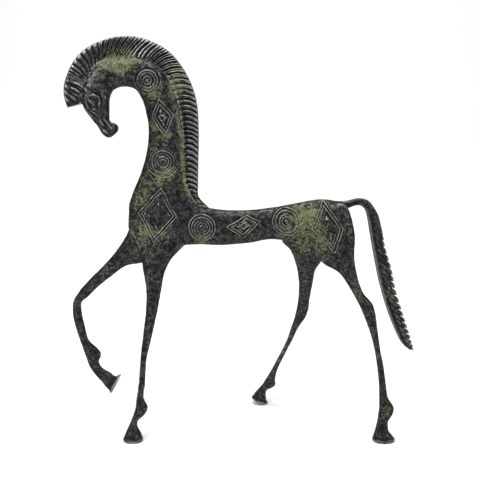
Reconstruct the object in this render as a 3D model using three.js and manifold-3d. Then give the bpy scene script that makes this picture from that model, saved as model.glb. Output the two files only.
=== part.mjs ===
import * as THREE from "three";
import { mergeVertices } from "three/addons/utils/BufferGeometryUtils.js";
import Module from "manifold-3d";

const wasm = await Module();
wasm.setup();

// A slim cast bronze horse that stands on three hooves with one foreleg raised.
// All sizes are millimetres. X runs from the muzzle to the tail, Z is up, and Y runs from
// the horse's left side, the near one, to its right side, the far one.

const BRONZE = { color: 0x33352f, roughness: 0.5, metalness: 0.85 };

// How finely the forms are faceted.
const BODY_SIDES = 12;
const HEAD_SIDES = 10;
const LEG_SIDES = 8;
const LUMP_SIDES = 6;
const SECTION_STEP = 12;
const SECTION_POWER = 2.6;
const HOOF_POWER = 2.3;

// One station is a cross-section of a limb, seen from the side, in this order:
// front edge x and z, rear edge x and z, depth of its middle, thickness.
const NECK = [
  [-87.5, 243.5, -101, 257.5, 0, 11],
  [-82.5, 246, -92.5, 264, 0, 11],
  [-76.5, 246.5, -79, 266.5, 0, 11.5],
  [-71, 245, -64.5, 265.5, 0, 12],
  [-66.5, 238, -50.5, 257, 0, 12],
  [-64, 229, -42.5, 242, 0, 12],
  [-62.6, 217.5, -38, 219.5, 0, 12],
  [-64, 204, -37, 203, 0, 12.5],
  [-68.5, 188.5, -37, 188, 0, 13],
  [-74.5, 174.5, -35, 175.5, 0, 14],
  [-77.3, 167, -31, 169.5, 0, 14.3],
  [-78, 160.5, -24.5, 163, 0, 14.5],
];

const TRUNK = [
  [-77.4, 162, -78.3, 149, 0, 9],
  [-74, 170.5, -75, 141, 0, 13],
  [-61.5, 172.5, -62.5, 135, 0, 14.5],
  [-39, 168.5, -39.5, 137, 0, 14.5],
  [-28, 165, -28.5, 137.5, 0, 14],
  [-15.5, 162.5, -15.5, 137, 0, 13.5],
  [5.5, 162, 5.5, 138.5, 0, 13],
  [22.5, 163.8, 22.5, 141.2, 0, 13],
  [39, 166.8, 38, 138.6, 0, 13.5],
  [57, 169.7, 51, 132, 0, 14],
  [70.5, 168, 61, 126, 0, 13],
];

const HEAD = [
  [-103.5, 254, -82, 255, 0, 11],
  [-107.5, 242.5, -85.8, 245, 0, 13],
  [-107.2, 235, -88.6, 238.5, 0, 14],
  [-105.3, 230.5, -89, 232, 0, 12.5],
  [-102, 226, -89.1, 226.5, 0, 10.5],
  [-99, 222, -89, 223.5, 0, 9],
  [-97, 219.5, -84, 221, 0, 8.5],
  [-95.5, 216.5, -83.3, 217.5, 0, 8.5],
  [-93.5, 214, -86, 214.5, 0, 7.5],
  [-91.5, 212.5, -88.5, 212.5, 0, 5],
];

// The near foreleg carries weight: shoulder, forearm, knee, cannon, fetlock, pastern, hoof.
const NEAR_FORELEG = [
  [-75.5, 152.5, -35, 151, -3, 11],
  [-74, 145.5, -36.5, 141.5, -3.5, 11.5],
  [-71.5, 137, -39.6, 137, -5, 11.5],
  [-69.3, 129.5, -47.2, 129.5, -7, 11],
  [-67.8, 121, -52, 121, -9, 10],
  [-65.6, 107.5, -55, 107.5, -12, 8.5],
  [-66, 92.5, -57.8, 92.5, -15, 7.5],
  [-68, 76, -61.5, 76, -17.5, 6.3],
  [-70, 59, -65.5, 59, -19.8, 5.2],
  [-71.5, 40.5, -67, 40.5, -22, 5],
  [-73, 31, -67.9, 31, -23, 5.6],
  [-74, 24.2, -65.2, 24.2, -23.6, 7.2],
  [-75.4, 19.5, -67.5, 19.5, -24, 7],
  [-77.2, 15, -72.2, 15, -24.3, 6.2],
  [-79, 10.7, -72.7, 10.7, -24.5, 7.2],
  [-81, 6.5, -70.7, 6.5, -24.7, 8.8],
  [-83.1, -1.5, -69, -1.5, -25, 11],
];

// The far foreleg is raised: shoulder, forearm, bent knee, cannon, fetlock, pastern, hoof.
const FAR_FORELEG = [
  [-77.5, 156, -51.5, 133, 3, 11],
  [-79.3, 146.5, -63, 124.8, 4, 11],
  [-83, 139.5, -73.8, 122.2, 5.5, 10.5],
  [-88.6, 131.5, -81.3, 120.4, 7, 9.5],
  [-99, 119.5, -92.5, 112.5, 9.5, 8.5],
  [-111, 107.5, -104.5, 102.5, 12, 7.8],
  [-119.2, 97.8, -112.5, 94.5, 14, 7.5],
  [-123.3, 90.5, -117, 90.5, 15, 7.3],
  [-124, 83.5, -117.5, 84.5, 15.5, 6.8],
  [-122.5, 71, -115.6, 71, 16.3, 6.3],
  [-119.5, 59, -112.6, 59.2, 17, 6],
  [-117.5, 52, -106.5, 53, 17.4, 7.2],
  [-116, 47, -104.5, 49, 17.6, 7.2],
  [-114.2, 40.3, -106.6, 43, 17.8, 6.4],
  [-110.7, 34.2, -104.2, 37.9, 18, 6.8],
  [-105.5, 27.8, -98.4, 33.2, 18, 8.8],
  [-98, 17.6, -89.6, 32.2, 18, 11.5],
];

// The near hind leg: haunch, thigh, gaskin, hock, cannon, fetlock, pastern, hoof.
const NEAR_HIND_LEG = [
  [35, 142.5, 40, 160, -3, 10],
  [46.5, 134.5, 57, 166, -3.5, 11],
  [55, 130, 73, 166.5, -4, 12],
  [62, 124.3, 77.2, 158.3, -5, 12],
  [67, 120.8, 80, 145, -6.5, 11.5],
  [71.3, 116.8, 79.7, 131.5, -8.5, 10.5],
  [75, 111.5, 81, 121, -10.5, 9.5],
  [81.5, 100.5, 86.6, 105, -13.5, 8],
  [85, 93.5, 92.5, 98, -15, 7.5],
  [87.5, 87.5, 94.5, 92, -16, 7],
  [90, 81, 96, 81.5, -17.5, 6],
  [93.9, 67.5, 98, 67.5, -19.5, 5.2],
  [96.1, 55, 100.7, 55, -21, 5],
  [97.6, 42, 102.6, 42, -22.5, 5.2],
  [98.1, 31.5, 104.6, 31.5, -23.5, 6],
  [98.1, 24.2, 108.7, 24.2, -24, 7.5],
  [97.7, 19.8, 107.8, 19.8, -24.3, 7],
  [97.1, 15, 105, 15, -24.5, 6.5],
  [96.4, 10.7, 104.8, 10.7, -24.6, 7.4],
  [95.6, 6.5, 106, 6.5, -24.8, 9],
  [94.2, -1.5, 110.3, -1.5, -25, 11.5],
];

// The far hind leg reaches forward, and rests on the heel of its hoof.
const FAR_HIND_LEG = [
  [36.5, 158.5, 67.5, 153, 3, 11],
  [29.8, 139, 64.5, 135.5, 4, 11.5],
  [36, 132, 58.5, 124, 6, 11],
  [40.2, 121.5, 54.8, 117, 9, 10],
  [42.8, 108.5, 53.6, 108, 13, 8.8],
  [43, 91.5, 51.5, 91.5, 17, 7.6],
  [41.9, 82, 50.9, 82.5, 20, 7.2],
  [40.6, 75.5, 48.9, 76.5, 21.7, 6.8],
  [38.8, 68.5, 44.8, 69.5, 23.5, 6.2],
  [35.1, 55.5, 40.3, 58, 27, 5.4],
  [28.6, 39.5, 33.5, 41.5, 31.5, 5],
  [23.6, 28.2, 29, 29.5, 34.5, 5.6],
  [19.7, 20.5, 27.7, 21, 36.5, 7],
  [16.9, 15.6, 27.8, 15.9, 37.5, 7.2],
  [14.3, 12.2, 21, 11.2, 38.5, 6.5],
  [11.8, 9, 20.6, 5.8, 39.2, 8.8],
  [9.2, 4, 21.8, -2.6, 40, 11.5],
];

// The mane is a band of strands. Each key names a strand by its number, counted from the
// first one above the brow, then gives its root x and z and its crest x and z.
const MANE = [
  [-5, -108, 235, -117.6, 232.5],
  [-3, -105.5, 240, -119.6, 240.5],
  [-1, -106, 245, -119.2, 248],
  [1, -106.5, 249.5, -117, 254.5],
  [4, -102.5, 252, -113.3, 262],
  [6, -100, 256.5, -107.6, 268.8],
  [8, -96.5, 260.5, -99.8, 274.2],
  [10, -93, 262.5, -91, 277.7],
  [13, -86.5, 264, -78.5, 280],
  [16, -76.5, 264.5, -64.5, 278.5],
  [18, -65, 263, -54.6, 274.4],
  [20, -59.5, 261, -47, 269.4],
  [22, -55, 258, -41, 262.9],
  [24, -50, 253.5, -36, 255.2],
  [27, -44.5, 244, -31, 243.5],
  [30, -42, 234.5, -28.7, 232.5],
  [33, -40, 224, -28.2, 221.5],
  [37, -39, 212, -28.2, 208.5],
  [41, -39, 196, -28.7, 193],
  [45, -38, 181, -29, 179],
  [47, -34.5, 173, -29.2, 172.5],
  [50, -28, 165, -24.5, 164.5],
];
const MANE_ROOT_HALF = 3.6;
const MANE_CREST_HALF = 2.3;
const MANE_GROOVE = 0.95;
const MANE_BURIED = 0.22;
const MANE_FULL_LENGTH = 9;

// The tail is a band too, with a quill along its front edge and barbs slanting back from it.
// Keys: barb number, front edge x and z, barb tip x and z.
const TAIL = [
  [-5, 68.5, 160, 65.5, 168],
  [-4, 77, 164, 75.5, 168.9],
  [-3, 82.5, 165.5, 82.5, 170.5],
  [-2, 86.5, 163.5, 90, 168.5],
  [-1, 88.3, 160, 96.5, 159.5],
  [0, 89.1, 157, 99.5, 150],
  [3, 91.9, 142.5, 103, 135],
  [6, 95.1, 127, 108, 119.3],
  [9, 99, 110.5, 111.5, 104.5],
  [12, 104, 94, 116.8, 88.5],
  [15, 110.5, 77.5, 121.5, 75],
  [18, 118, 63.5, 125.2, 63.5],
  [19.4, 122.5, 59.8, 126.5, 59],
];
const TAIL_ROOT_HALF = 2.9;
const TAIL_TIP_HALF = 1.9;
const TAIL_GROOVE = 0.8;
const TAIL_NOTCH = 1.5;

// Ornament in low relief: nested rings and nested lozenges.
const RELIEF_HEIGHT = 0.75;
const RELIEF_WIDTH = 1.3;
const RELIEF_BURIED = 0.7;
const RINGS = [
  { x: -62.5, z: 251, radius: 7.6 },
  { x: -53, z: 195.5, radius: 10 },
  { x: -26.5, z: 149.5, radius: 9.4 },
  { x: 32.5, z: 153.5, radius: 9 },
];
const RING_STEPS = [0.22, 0.56, 0.94];
const FAR_RING_STEPS = [0.94];
// Corners of each lozenge: top, rear, bottom, front.
const LOZENGES = [
  [-55.5, 238, -45.5, 228, -51, 214.5, -60, 226.5],
  [-54.5, 176.5, -45, 158, -60.5, 140.5, -70, 160],
  [4.5, 158, 13.5, 152, 3, 142.5, -9, 150],
  [59, 166.5, 72, 150.5, 66, 133.5, 50.5, 150.5],
];
const LOZENGE_INNER = 0.52;

// Ridges of the face, as runs of x and z, and the lumps of eye, ear, nostril and lip.
const FACE_RIDGES = [
  [[-100.5, 242.3], [-96, 241.5], [-94, 237], [-96, 233]],
  [[-105, 240.5], [-102.8, 233.5], [-96.6, 227.2]],
  [[-95, 224], [-92.5, 221], [-89.5, 218.8]],
];
const FACE_LUMPS = [
  { x: -99, z: 233.8, length: 5, width: 3, turn: -60, height: 1.1 },
  { x: -91.3, z: 239.8, length: 7, width: 3.4, turn: -70, height: 1.3 },
  { x: -93, z: 216.3, length: 3.6, width: 2.4, turn: -30, height: 0.8 },
];

// Values between keyed rows, on a smooth curve through all of them. The first entry of each
// row is its knot.
function between(rows, knot) {
  let i = 0;
  while (i < rows.length - 2 && knot > rows[i + 1][0]) {
    i += 1;
  }
  const span = rows[i + 1][0] - rows[i][0];
  const t = (knot - rows[i][0]) / span;
  const rise = (k, column) => (rows[k + 1][column] - rows[k][column]) / (rows[k + 1][0] - rows[k][0]);
  const slope = (k, column) => {
    if (k === 0) {
      return rise(0, column);
    }
    if (k === rows.length - 1) {
      return rise(k - 1, column);
    }
    const before = rows[k][0] - rows[k - 1][0];
    const after = rows[k + 1][0] - rows[k][0];
    return (rise(k - 1, column) * after + rise(k, column) * before) / (before + after);
  };
  return rows[i].slice(1).map((start, index) => {
    const column = index + 1;
    const end = rows[i + 1][column];
    const leave = slope(i, column) * span;
    const arrive = slope(i + 1, column) * span;
    const curve = 2 * (start - end) + leave + arrive;
    const bend = 3 * (end - start) - 2 * leave - arrive;
    return ((curve * t + bend) * t + leave) * t + start;
  });
}

function signedVolume(points, faces) {
  let total = 0;
  for (const [a, b, c] of faces) {
    const [ax, ay, az] = points[a];
    const [bx, by, bz] = points[b];
    const [cx, cy, cz] = points[c];
    total += ax * (by * cz - bz * cy) + ay * (bz * cx - bx * cz) + az * (bx * cy - by * cx);
  }
  return total / 6;
}

function solid(points, faces) {
  const turned = signedVolume(points, faces) < 0;
  const triVerts = new Uint32Array(faces.map(([a, b, c]) => (turned ? [a, c, b] : [a, b, c])).flat());
  const vertProperties = new Float32Array(points.flat());
  return new wasm.Manifold(new wasm.Mesh({ numProp: 3, vertProperties, triVerts }));
}

// A skin over rings of points, closed by a cap at both ends or run round into itself.
function skin(rings, looped = false) {
  const sides = rings[0].length;
  const points = rings.flat();
  const faces = [];
  const spans = looped ? rings.length : rings.length - 1;
  for (let r = 0; r < spans; r += 1) {
    const here = r * sides;
    const next = ((r + 1) % rings.length) * sides;
    for (let s = 0; s < sides; s += 1) {
      const t = (s + 1) % sides;
      faces.push([here + s, here + t, next + t], [here + s, next + t, next + s]);
    }
  }
  if (!looped) {
    for (const [ring, first] of [[rings[0], 0], [rings.at(-1), (rings.length - 1) * sides]]) {
      const centre = points.length;
      points.push([0, 1, 2].map((axis) => ring.reduce((sum, p) => sum + p[axis], 0) / sides));
      for (let s = 0; s < sides; s += 1) {
        const a = first + s;
        const b = first + ((s + 1) % sides);
        faces.push(first === 0 ? [centre, b, a] : [centre, a, b]);
      }
    }
  }
  return solid(points, faces);
}

// A rounded cross-section between a front and a rear edge.
function section([ax, az, bx, bz, y, thickness], sides, power) {
  const ring = [];
  for (let s = 0; s < sides; s += 1) {
    const angle = (2 * Math.PI * s) / sides;
    const c = Math.cos(angle);
    const d = Math.sin(angle);
    const along = Math.sign(c) * Math.abs(c) ** (2 / power);
    const across = Math.sign(d) * Math.abs(d) ** (2 / power);
    ring.push([
      (ax + bx) / 2 + (along * (ax - bx)) / 2,
      y + (across * thickness) / 2,
      (az + bz) / 2 + (along * (az - bz)) / 2,
    ]);
  }
  return ring;
}

function loft(stations, sides, power) {
  const rows = [];
  let knot = 0;
  stations.forEach((station, k) => {
    if (k > 0) {
      const last = stations[k - 1];
      const across = (station[0] + station[2] - last[0] - last[2]) / 2;
      const down = (station[1] + station[3] - last[1] - last[3]) / 2;
      knot += Math.hypot(across, down, station[4] - last[4]);
    }
    rows.push([knot, ...station]);
  });
  const rings = [];
  for (let k = 0; k + 1 < rows.length; k += 1) {
    const span = rows[k + 1][0] - rows[k][0];
    const parts = Math.max(1, Math.round(span / SECTION_STEP));
    for (let part = 0; part < parts; part += 1) {
      rings.push(section(between(rows, rows[k][0] + (span * part) / parts), sides, power));
    }
  }
  rings.push(section(stations.at(-1), sides, power));
  return skin(rings);
}

// A band is a flat form between two keyed edges. Its outline at a place is a list of
// [share of the way from the first edge to the second, half thickness].
function band(keys, places, outline) {
  const rings = places.map((place) => {
    const [ax, az, bx, bz] = between(keys, place);
    const length = Math.hypot(bx - ax, bz - az);
    const side = outline(place, length);
    const point = ([share, half], sign) => [ax + (bx - ax) * share, sign * half, az + (bz - az) * share];
    const near = side.map((entry) => point(entry, -1));
    const far = side.filter(([, half]) => half > 0).map((entry) => point(entry, 1));
    return [...near, ...far.reverse()];
  });
  return skin(rings);
}

// Each strand of the mane has a groove and then a broad flat back.
function mane() {
  const places = [];
  for (let strand = MANE[0][0]; strand < MANE.at(-1)[0]; strand += 1) {
    places.push(strand, strand + 0.5);
  }
  places.push(MANE.at(-1)[0]);
  return band(MANE, places, (place, length) => {
    const inGroove = Math.abs(place - Math.round(place)) < 0.01;
    const fit = Math.min(1, length / MANE_FULL_LENGTH);
    const cut = inGroove ? MANE_GROOVE * fit : 0;
    return [
      [-MANE_BURIED, MANE_ROOT_HALF - cut],
      [0.93, MANE_CREST_HALF - 0.6 * cut],
      [inGroove ? 0.985 : 1, 0],
    ];
  });
}

// Each barb leaves a notch in the rear edge, swells, and ends in a sharp tip.
function tail() {
  const places = [];
  for (let k = TAIL[0][0]; k < 0; k += 0.5) {
    places.push(k);
  }
  const last = TAIL.at(-1)[0];
  for (let barb = 0; barb < last; barb += 1) {
    places.push(barb, Math.min(barb + 0.8, last - 0.1));
  }
  places.push(last);
  return band(TAIL, places, (place, length) => {
    const fade = THREE.MathUtils.smoothstep(place, -1, 1.5);
    const notched = place >= 0 && place < last && Math.abs(place - Math.round(place)) < 0.01;
    const half = THREE.MathUtils.mapLinear(place, TAIL[0][0], last, TAIL_ROOT_HALF, TAIL_TIP_HALF);
    const cut = notched ? TAIL_GROOVE * fade : 0;
    const notch = notched ? (TAIL_NOTCH * fade) / length : 0;
    return [
      [0, 0],
      [0.13, half * 0.86],
      [0.3, half * (1 - 0.22 * fade) - 0.4 * cut],
      [0.66, half * (1 - 0.1 * fade) - cut],
      [1 - notch, Math.max(half * 0.4 - 0.3 * cut, 0.3)],
    ];
  });
}

// The surface of a form under a point of the side view.
function surfaceOf(form) {
  const { vertProperties, triVerts } = form.getMesh();
  const geometry = new THREE.BufferGeometry();
  geometry.setAttribute("position", new THREE.BufferAttribute(vertProperties, 3));
  geometry.setIndex(new THREE.BufferAttribute(triVerts, 1));
  const mesh = new THREE.Mesh(geometry, new THREE.MeshBasicMaterial({ side: THREE.DoubleSide }));
  const ray = new THREE.Raycaster();
  return (x, z, side) => {
    ray.set(new THREE.Vector3(x, side * 100, z), new THREE.Vector3(0, -side, 0));
    const hits = ray.intersectObject(mesh);
    return hits.length > 0 ? hits[0].point.y : null;
  };
}

// A low ridge that follows a run of side-view points over a surface.
function ridge(points, side, surface, { width, height, looped }) {
  const count = points.length;
  const rings = [];
  points.forEach(([x, z], k) => {
    const before = points[looped ? (k + count - 1) % count : Math.max(0, k - 1)];
    const after = points[looped ? (k + 1) % count : Math.min(count - 1, k + 1)];
    const run = Math.hypot(after[0] - before[0], after[1] - before[1]);
    const normalX = (after[1] - before[1]) / run;
    const normalZ = (before[0] - after[0]) / run;
    const y = surface(x, z, side);
    const ending = !looped && (k === 0 || k === count - 1);
    const half = (width / 2) * (ending ? 0.3 : 1);
    const rise = height * (ending ? 0.15 : 1);
    rings.push([
      [x - normalX * half, y - side * RELIEF_BURIED, z - normalZ * half],
      [x, y + side * rise, z],
      [x + normalX * half, y - side * RELIEF_BURIED, z + normalZ * half],
    ]);
  });
  return skin(rings, looped);
}

function circle({ x, z }, radius) {
  const count = Math.round(6 + radius * 0.9);
  return Array.from({ length: count }, (_, k) => {
    const angle = (2 * Math.PI * k) / count;
    return [x + radius * Math.cos(angle), z + radius * Math.sin(angle)];
  });
}

// A four-sided frame, shrunk about its middle to the given share of its size.
function frame(corners, share) {
  const points = [0, 2, 4, 6].map((k) => [corners[k], corners[k + 1]]);
  const middle = [0, 1].map((axis) => points.reduce((sum, p) => sum + p[axis], 0) / 4);
  const shrunk = points.map((p) => p.map((value, axis) => middle[axis] + share * (value - middle[axis])));
  if (share < 1) {
    return shrunk;
  }
  return shrunk.flatMap((p, k) => {
    const q = shrunk[(k + 1) % 4];
    return [p, [(p[0] + q[0]) / 2, (p[1] + q[1]) / 2]];
  });
}

// A small rounded lump on a surface, such as an eye.
function lump({ x, z, length, width, turn, height }, side, surface) {
  const angle = THREE.MathUtils.degToRad(turn);
  const y = surface(x, z, side);
  const ringAt = (share, rise) =>
    Array.from({ length: LUMP_SIDES }, (_, k) => {
      const place = (2 * Math.PI * k) / LUMP_SIDES;
      const along = (Math.cos(place) * length * share) / 2;
      const across = (Math.sin(place) * width * share) / 2;
      return [
        x + along * Math.cos(angle) - across * Math.sin(angle),
        y + side * rise,
        z + along * Math.sin(angle) + across * Math.cos(angle),
      ];
    });
  return skin([ringAt(1, -RELIEF_BURIED), ringAt(1, 0.1), ringAt(0.55, height)]);
}

function relief(surface) {
  const forms = [];
  for (const side of [-1, 1]) {
    const style = { width: RELIEF_WIDTH, height: RELIEF_HEIGHT, looped: true };
    for (const ring of RINGS) {
      for (const share of side < 0 ? RING_STEPS : FAR_RING_STEPS) {
        forms.push(ridge(circle(ring, ring.radius * share), side, surface, style));
      }
    }
    for (const corners of LOZENGES) {
      for (const share of side < 0 ? [1, LOZENGE_INNER] : [1]) {
        forms.push(ridge(frame(corners, share), side, surface, style));
      }
    }
    for (const run of FACE_RIDGES) {
      forms.push(ridge(run, side, surface, { width: 1.2, height: 0.6, looped: false }));
    }
    for (const shape of FACE_LUMPS) {
      forms.push(lump(shape, side, surface));
    }
  }
  return forms;
}

function join(forms) {
  return forms.reduce((whole, form) => whole.add(form));
}

// Whatever reaches under the ground is cut off, so that the soles are flat.
function cutGround(form) {
  const block = new THREE.BoxGeometry(400, 200, 20);
  block.translate(0, 0, -10);
  block.deleteAttribute("normal");
  block.deleteAttribute("uv");
  const merged = mergeVertices(block);
  const ground = new wasm.Manifold(
    new wasm.Mesh({
      numProp: 3,
      vertProperties: new Float32Array(merged.attributes.position.array),
      triVerts: new Uint32Array(merged.index.array),
    }),
  );
  return form.subtract(ground);
}

// The triangles of the outer shell alone: where forms overlap unevenly they can shut in a
// small bubble, which the solid casting doesn't have.
function outerShell(vertProperties, triVerts) {
  const parent = Array.from({ length: vertProperties.length / 3 }, (_, k) => k);
  const rootOf = (k) => {
    while (parent[k] !== k) {
      parent[k] = parent[parent[k]];
      k = parent[k];
    }
    return k;
  };
  for (let t = 0; t < triVerts.length; t += 3) {
    parent[rootOf(triVerts[t])] = rootOf(triVerts[t + 1]);
    parent[rootOf(triVerts[t + 1])] = rootOf(triVerts[t + 2]);
  }
  const shells = new Map();
  for (let t = 0; t < triVerts.length; t += 3) {
    const root = rootOf(triVerts[t]);
    shells.set(root, [...(shells.get(root) ?? []), triVerts[t], triVerts[t + 1], triVerts[t + 2]]);
  }
  return [...shells.values()].sort((a, b) => b.length - a.length)[0];
}

function toMesh(form, name, look) {
  const { vertProperties, triVerts } = form.getMesh();
  const geometry = new THREE.BufferGeometry();
  geometry.setAttribute("position", new THREE.BufferAttribute(new Float32Array(vertProperties), 3));
  geometry.setIndex(outerShell(vertProperties, triVerts));
  geometry.computeBoundingBox();
  const middle = geometry.boundingBox.getCenter(new THREE.Vector3());
  geometry.translate(-middle.x, -middle.y, -geometry.boundingBox.min.z);
  const mesh = new THREE.Mesh(geometry, new THREE.MeshStandardMaterial({ ...look, flatShading: true }));
  mesh.name = name;
  return mesh;
}

const body = join([
  loft(TRUNK, BODY_SIDES, SECTION_POWER),
  loft(NECK, BODY_SIDES, SECTION_POWER),
  loft(HEAD, HEAD_SIDES, SECTION_POWER),
  loft(NEAR_FORELEG, LEG_SIDES, HOOF_POWER),
  loft(FAR_FORELEG, LEG_SIDES, HOOF_POWER),
  loft(NEAR_HIND_LEG, LEG_SIDES, HOOF_POWER),
  loft(FAR_HIND_LEG, LEG_SIDES, HOOF_POWER),
]);
const casting = cutGround(join([body, mane(), tail(), ...relief(surfaceOf(body))]));

const horse = new THREE.Group();
horse.add(toMesh(casting, "horse", BRONZE));

export default horse;
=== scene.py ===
import math

import bmesh
import bpy
import numpy as np
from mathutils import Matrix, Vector, noise


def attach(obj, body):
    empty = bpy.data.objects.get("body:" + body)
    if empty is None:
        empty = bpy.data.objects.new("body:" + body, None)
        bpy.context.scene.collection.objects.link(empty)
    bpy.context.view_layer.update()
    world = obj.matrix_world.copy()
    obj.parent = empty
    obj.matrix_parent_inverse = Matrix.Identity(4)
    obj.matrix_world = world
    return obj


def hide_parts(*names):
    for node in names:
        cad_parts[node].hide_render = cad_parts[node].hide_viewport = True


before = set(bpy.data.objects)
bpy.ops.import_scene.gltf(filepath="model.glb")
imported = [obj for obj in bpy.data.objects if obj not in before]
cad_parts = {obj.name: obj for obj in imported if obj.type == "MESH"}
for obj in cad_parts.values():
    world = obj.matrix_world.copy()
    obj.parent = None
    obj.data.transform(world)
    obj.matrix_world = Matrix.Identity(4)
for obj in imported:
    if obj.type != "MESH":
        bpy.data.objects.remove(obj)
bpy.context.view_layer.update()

# A slim cast bronze horse, built in millimetres: X runs from the muzzle to the tail, Z is up, and Y runs
# from the horse's left side, the near one, to its right side, the far one. MIDDLE is the middle of its
# footprint, which the row frame has at its origin.
MM = 0.001
MIDDLE = (1.25, 7.5, 0)

VOXEL = 0.85
MOST_FACES = 188000
LOFT_STEP = 1.2
LOFT_SIDES = 48
TRUNK_POWER = 2.35
LEG_POWER = 2.1

# One station is a cross-section of a limb, seen from the side, in this order: front edge x and z, rear edge
# x and z, depth of its middle, thickness.
NECK = (
    (-87.5, 243.5, -101, 257.5, 0, 11),
    (-82.5, 246, -92.5, 264, 0, 11),
    (-76.5, 246.5, -79, 266.5, 0, 11.5),
    (-71, 245, -64.5, 265.5, 0, 12),
    (-66.5, 238, -50.5, 257, 0, 12),
    (-64, 229, -42.5, 242, 0, 12),
    (-62.6, 217.5, -38, 219.5, 0, 12),
    (-64, 204, -37, 203, 0, 12.5),
    (-68.5, 188.5, -37, 188, 0, 13),
    (-74.5, 174.5, -35, 175.5, 0, 14),
    (-77.3, 167, -31, 169.5, 0, 14.3),
    (-78, 160.5, -24.5, 163, 0, 14.5),
)
TRUNK = (
    (-77.4, 162, -78.3, 149, 0, 9),
    (-74, 170.5, -75, 141, 0, 13),
    (-61.5, 172.5, -62.5, 135, 0, 14.5),
    (-39, 168.5, -39.5, 137, 0, 14.5),
    (-28, 165, -28.5, 137.5, 0, 14),
    (-15.5, 162.5, -15.5, 137, 0, 13.5),
    (5.5, 162, 5.5, 138.5, 0, 13),
    (22.5, 163.8, 22.5, 141.2, 0, 13),
    (39, 166.8, 38, 138.6, 0, 13.5),
    (57, 169.7, 51, 132, 0, 14),
    (70.5, 168, 61, 126, 0, 13),
)
HEAD = (
    (-103.5, 254, -82, 255, 0, 11),
    (-107.5, 242.5, -85.8, 245, 0, 13),
    (-107.2, 235, -88.6, 238.5, 0, 14),
    (-105.3, 230.5, -89, 232, 0, 12.5),
    (-102, 226, -89.1, 226.5, 0, 10.5),
    (-99, 222, -89, 223.5, 0, 9),
    (-97, 219.5, -84, 221, 0, 8.5),
    (-95.5, 216.5, -83.3, 217.5, 0, 8.5),
    (-93.5, 214, -86, 214.5, 0, 7.5),
    (-91.5, 212.5, -88.5, 212.5, 0, 5),
)
NEAR_FORELEG = (
    (-75.5, 152.5, -35, 151, -3, 11),
    (-74, 145.5, -36.5, 141.5, -3.5, 11.5),
    (-71.5, 137, -39.6, 137, -5, 11.5),
    (-69.3, 129.5, -47.2, 129.5, -7, 11),
    (-67.8, 121, -52, 121, -9, 10),
    (-65.6, 107.5, -55, 107.5, -12, 8.5),
    (-66, 92.5, -57.8, 92.5, -15, 7.5),
    (-68, 76, -61.5, 76, -17.5, 6.3),
    (-70, 59, -65.5, 59, -19.8, 5.2),
    (-71.5, 40.5, -67, 40.5, -22, 5),
    (-73, 31, -67.9, 31, -23, 5.6),
    (-74, 24.2, -65.2, 24.2, -23.6, 7.2),
    (-75.4, 19.5, -67.5, 19.5, -24, 7),
    (-77.2, 15, -72.2, 15, -24.3, 6.2),
    (-79, 10.7, -72.7, 10.7, -24.5, 7.2),
    (-81, 6.5, -70.7, 6.5, -24.7, 8.8),
    (-82.9, 2, -69.1, 2, -25, 10.8),
    (-82.4, -1.5, -69.8, -1.5, -25, 10.2),
)
FAR_FORELEG = (
    (-77.5, 156, -51.5, 133, 3, 11),
    (-79.3, 146.5, -63, 124.8, 4, 11),
    (-83, 139.5, -73.8, 122.2, 5.5, 10.5),
    (-88.6, 131.5, -81.3, 120.4, 7, 9.5),
    (-99, 119.5, -92.5, 112.5, 9.5, 8.5),
    (-111, 107.5, -104.5, 102.5, 12, 7.8),
    (-119.2, 97.8, -112.5, 94.5, 14, 7.5),
    (-123.3, 90.5, -117, 90.5, 15, 7.3),
    (-124, 83.5, -117.5, 84.5, 15.5, 6.8),
    (-122.5, 71, -115.6, 71, 16.3, 6.3),
    (-119.5, 59, -112.6, 59.2, 17, 6),
    (-117.5, 52, -106.5, 53, 17.4, 7.2),
    (-116, 47, -104.5, 49, 17.6, 7.2),
    (-114.2, 40.3, -106.6, 43, 17.8, 6.4),
    (-110.7, 34.2, -104.2, 37.9, 18, 6.8),
    (-105.5, 27.8, -98.4, 34, 18, 8.8),
    (-100, 20.4, -93.6, 31.3, 18, 10),
    (-98, 17.6, -89.8, 33, 18, 12),
)
NEAR_HIND_LEG = (
    (35, 142.5, 40, 160, -3, 10),
    (46.5, 134.3, 57, 166, -3.5, 11),
    (54.5, 128.6, 73, 166.5, -4, 12),
    (60.6, 123.2, 77.2, 158.3, -5, 12),
    (66.6, 120.4, 80, 145, -6.5, 11.5),
    (71.3, 116.8, 79.7, 131.5, -8.5, 10.5),
    (75, 111.5, 81, 121, -10.5, 9.5),
    (81.5, 100.5, 86.6, 105, -13.5, 8),
    (85, 93.5, 92.5, 98, -15, 7.5),
    (87.5, 87.5, 94.5, 92, -16, 7),
    (90, 81, 96, 81.5, -17.5, 6),
    (93.9, 67.5, 98, 67.5, -19.5, 5.2),
    (96.1, 55, 100.7, 55, -21, 5),
    (97.6, 42, 102.6, 42, -22.5, 5.2),
    (98.1, 31.5, 104.6, 31.5, -23.5, 6),
    (98.1, 24.2, 108.7, 24.2, -24, 7.5),
    (97.7, 19.8, 107.8, 19.8, -24.3, 7),
    (97.1, 15, 105, 15, -24.5, 6.5),
    (96.4, 10.7, 104.8, 10.7, -24.6, 7.4),
    (95.4, 6.5, 106, 6.5, -24.8, 9),
    (94.2, 2, 109.6, 2, -25, 11.3),
    (94.8, -1.5, 109.2, -1.5, -25, 10.6),
)
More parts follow.
